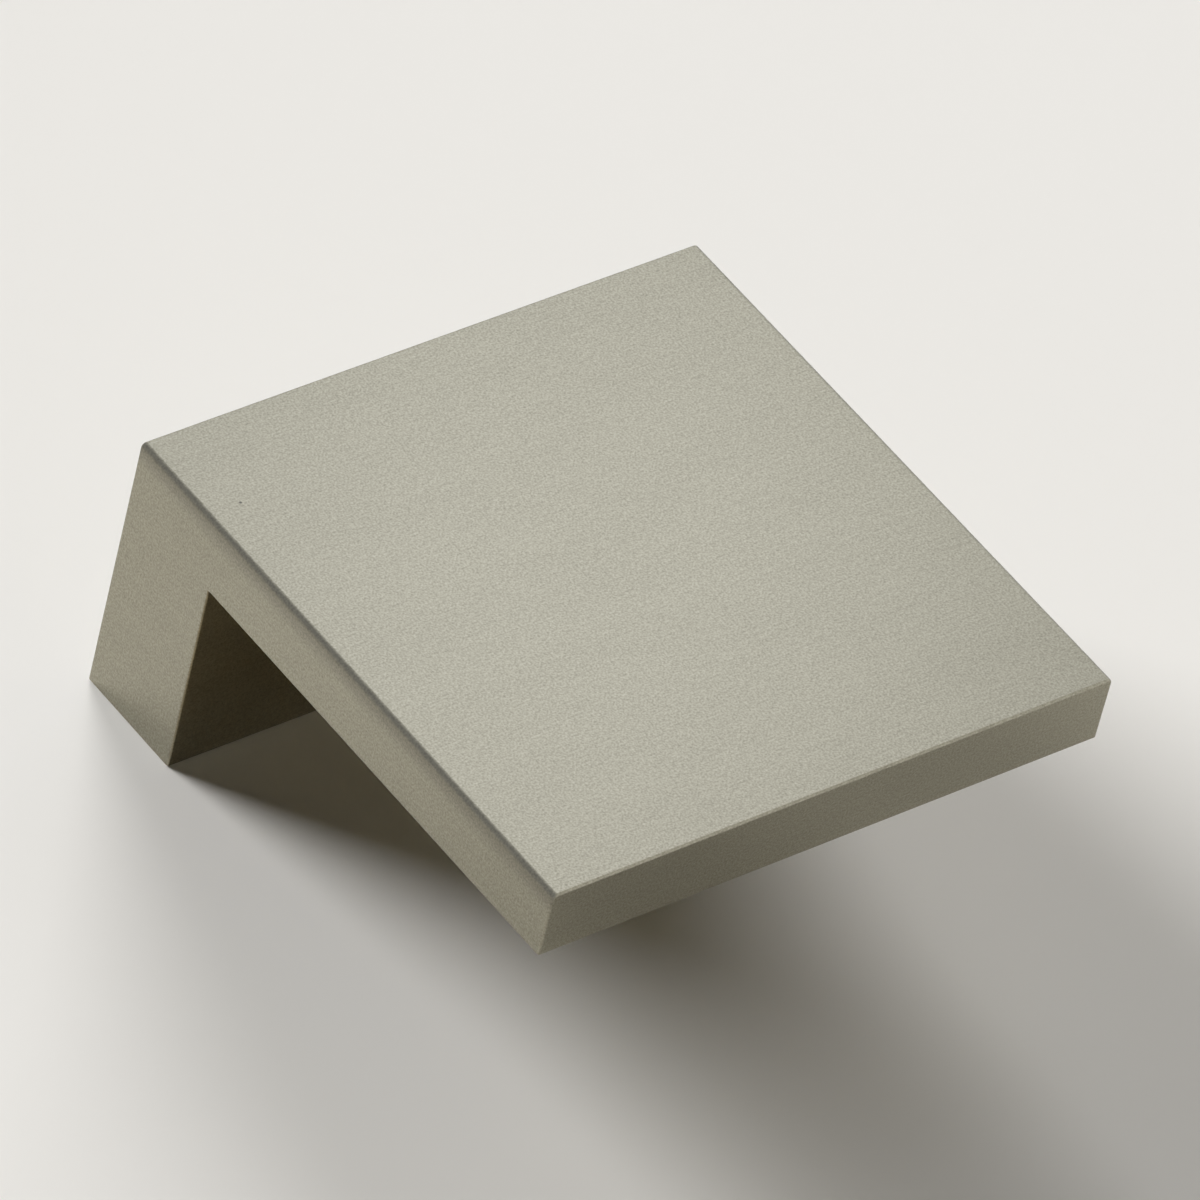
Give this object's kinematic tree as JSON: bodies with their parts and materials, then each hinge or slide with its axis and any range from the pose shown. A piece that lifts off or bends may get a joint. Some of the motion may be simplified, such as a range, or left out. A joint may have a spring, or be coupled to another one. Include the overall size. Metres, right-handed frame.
{
  "type": "tab pull",
  "caption": "Square tab pull for drawers and doors: a flat plate on a thick foot leg, in one piece, with tapped screw holes in the foot and a finger gap under the tab.",
  "frame": {"origin": "middle of the foot's mounting face, on the surface that the pull is fixed to", "axes": "+Z out of the surface that the pull is fixed to, towards the display face; the tab reaches towards -Y; X along the width"},
  "size_m": [0.04, 0.04, 0.0187],
  "materials": {
    "brushed_nickel": "satin, finely brushed along the width"
  },
  "bodies": {
    "root": {"pull_body": "brushed_nickel"}
  },
  "joints": []
}
